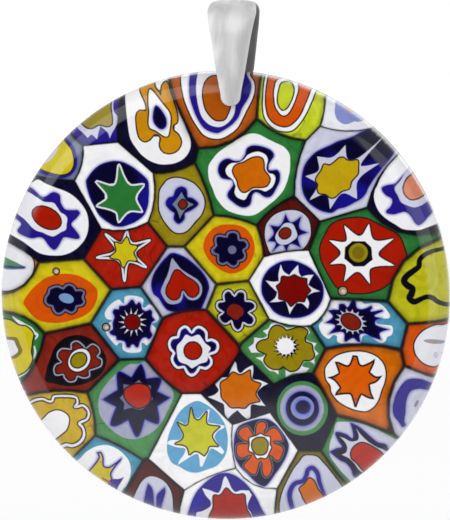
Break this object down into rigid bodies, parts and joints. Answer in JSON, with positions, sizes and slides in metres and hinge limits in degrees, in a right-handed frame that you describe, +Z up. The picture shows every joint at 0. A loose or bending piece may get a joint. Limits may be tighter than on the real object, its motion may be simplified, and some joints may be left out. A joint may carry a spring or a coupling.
{
  "type": "glass pendant",
  "caption": "Round millefiori pendant: a thick glass disc of fused patterned cane slices, swinging from a folded silver pinch bail.",
  "frame": {"origin": "the chain's seat: the inside of the top of the bail's fold, midway across the strip", "axes": "+Z up, the pendant hangs along -Z; the patterned front of the disc faces -Y; the chain runs along X"},
  "size_m": [0.0399, 0.0066, 0.0463],
  "materials": {
    "glass_cobalt": "opaque art glass, fire polished and glossy",
    "glass_yellow": "opaque art glass, fire polished and glossy",
    "glass_white": "opaque art glass, fire polished and glossy",
    "glass_brown": "opaque art glass, fire polished and glossy",
    "glass_lime": "opaque art glass, fire polished and glossy",
    "glass_olive": "opaque art glass, fire polished and glossy",
    "glass_green": "opaque art glass, fire polished and glossy",
    "glass_navy": "opaque art glass, fire polished and glossy",
    "glass_orange": "opaque art glass, fire polished and glossy",
    "glass_red": "opaque art glass, fire polished and glossy",
    "glass_sky": "opaque art glass, fire polished and glossy",
    "glass_mustard": "opaque art glass, fire polished and glossy",
    "silver": "silver, soft satin polish"
  },
  "bodies": {
    "bail": {"bail": "silver", "front_peg": "silver", "back_peg": "silver"},
    "glass_disc": {"murrina_cobalt_olive": "glass_cobalt", "murrina_yellow_edge": "glass_yellow", "murrina_amber_cross": "glass_white", "murrina_brown_loops": "glass_brown", "murrina_lime_loops": "glass_lime", "murrina_lilac_edge": "glass_white", "murrina_red_oval": "glass_white", "murrina_green_star": "glass_white", "murrina_small_cross": "glass_olive", "murrina_orange_square": "glass_green", "murrina_mustard_sun": "glass_navy", "murrina_salmon_edge": "glass_white", "murrina_white_slit_left": "glass_white", "murrina_orange_flower_left": "glass_orange", "murrina_yellow_star": "glass_red", "murrina_red_heart": "glass_navy", "murrina_orange_flower_mid": "glass_orange", "murrina_zigzag_star": "glass_brown", "murrina_white_star": "glass_red", "murrina_yellow_wave": "glass_lime", "murrina_olive_flower_edge": "glass_olive", "murrina_brick_flower": "glass_red", "murrina_blue_gear": "glass_sky", "murrina_red_daisy": "glass_red", "murrina_lime_daisy": "glass_lime", "murrina_swirl_star": "glass_white", "murrina_blue_burst": "glass_sky", "murrina_white_slit_right": "glass_orange", "murrina_olive_flower": "glass_olive", "murrina_mustard_edge": "glass_mustard", "murrina_violet_star": "glass_green", "murrina_orange_sun": "glass_orange", "murrina_target": "glass_navy", "murrina_orange_star": "glass_orange", "murrina_violet_crescent": "glass_cobalt", "murrina_yellow_crown": "glass_sky", "murrina_sky_star": "glass_sky", "murrina_orange_petals": "glass_navy", "murrina_red_zigzag": "glass_white", "murrina_twin_leaves": "glass_brown", "murrina_blue_red_edge": "glass_cobalt", "murrina_wavy_line": "glass_white"}
  },
  "joints": [
    {"name": "disc_swing", "type": "hinge", "parent": "bail", "child": "glass_disc", "pos_m": [0, 0, -0.0075], "axis": [0, 1, 0], "range_deg": [-60, 60]}
  ]
}
